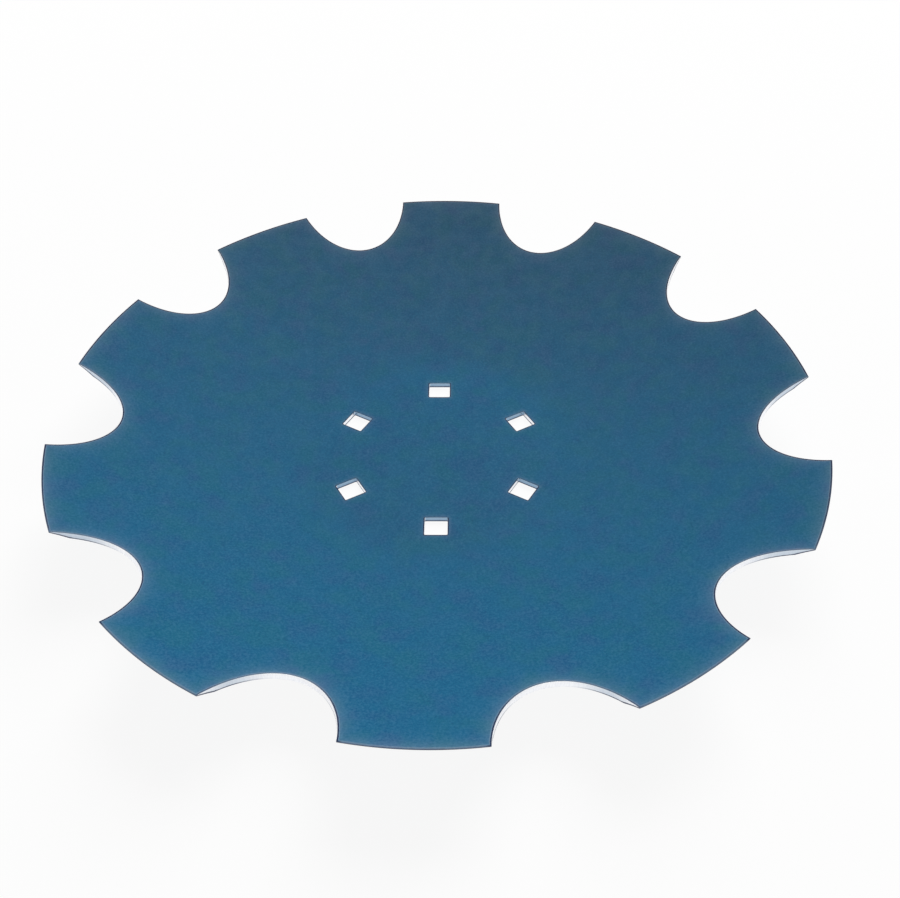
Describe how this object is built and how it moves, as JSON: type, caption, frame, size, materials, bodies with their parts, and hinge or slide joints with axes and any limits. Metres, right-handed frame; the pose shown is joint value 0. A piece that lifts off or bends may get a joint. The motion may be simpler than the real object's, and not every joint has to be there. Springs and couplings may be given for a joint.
{
  "type": "notched harrow disc blade",
  "caption": "Round dished steel blade for a disc harrow, with scalloped teeth, an edge bevelled on the bulging side, and a flat bolted hub seat with square holes.",
  "frame": {"origin": "centre of the hub seat's outer face, where the disc's axis meets it", "axes": "+Z along the disc's axis, from the bulging side to the hollow side; +Y through the middle of a bolt hole"},
  "size_m": [0.4562, 0.46, 0.0409],
  "materials": {
    "blue_paint": "satin blue paint, baked on"
  },
  "bodies": {
    "root": {"disc_blade": "blue_paint"}
  },
  "joints": []
}
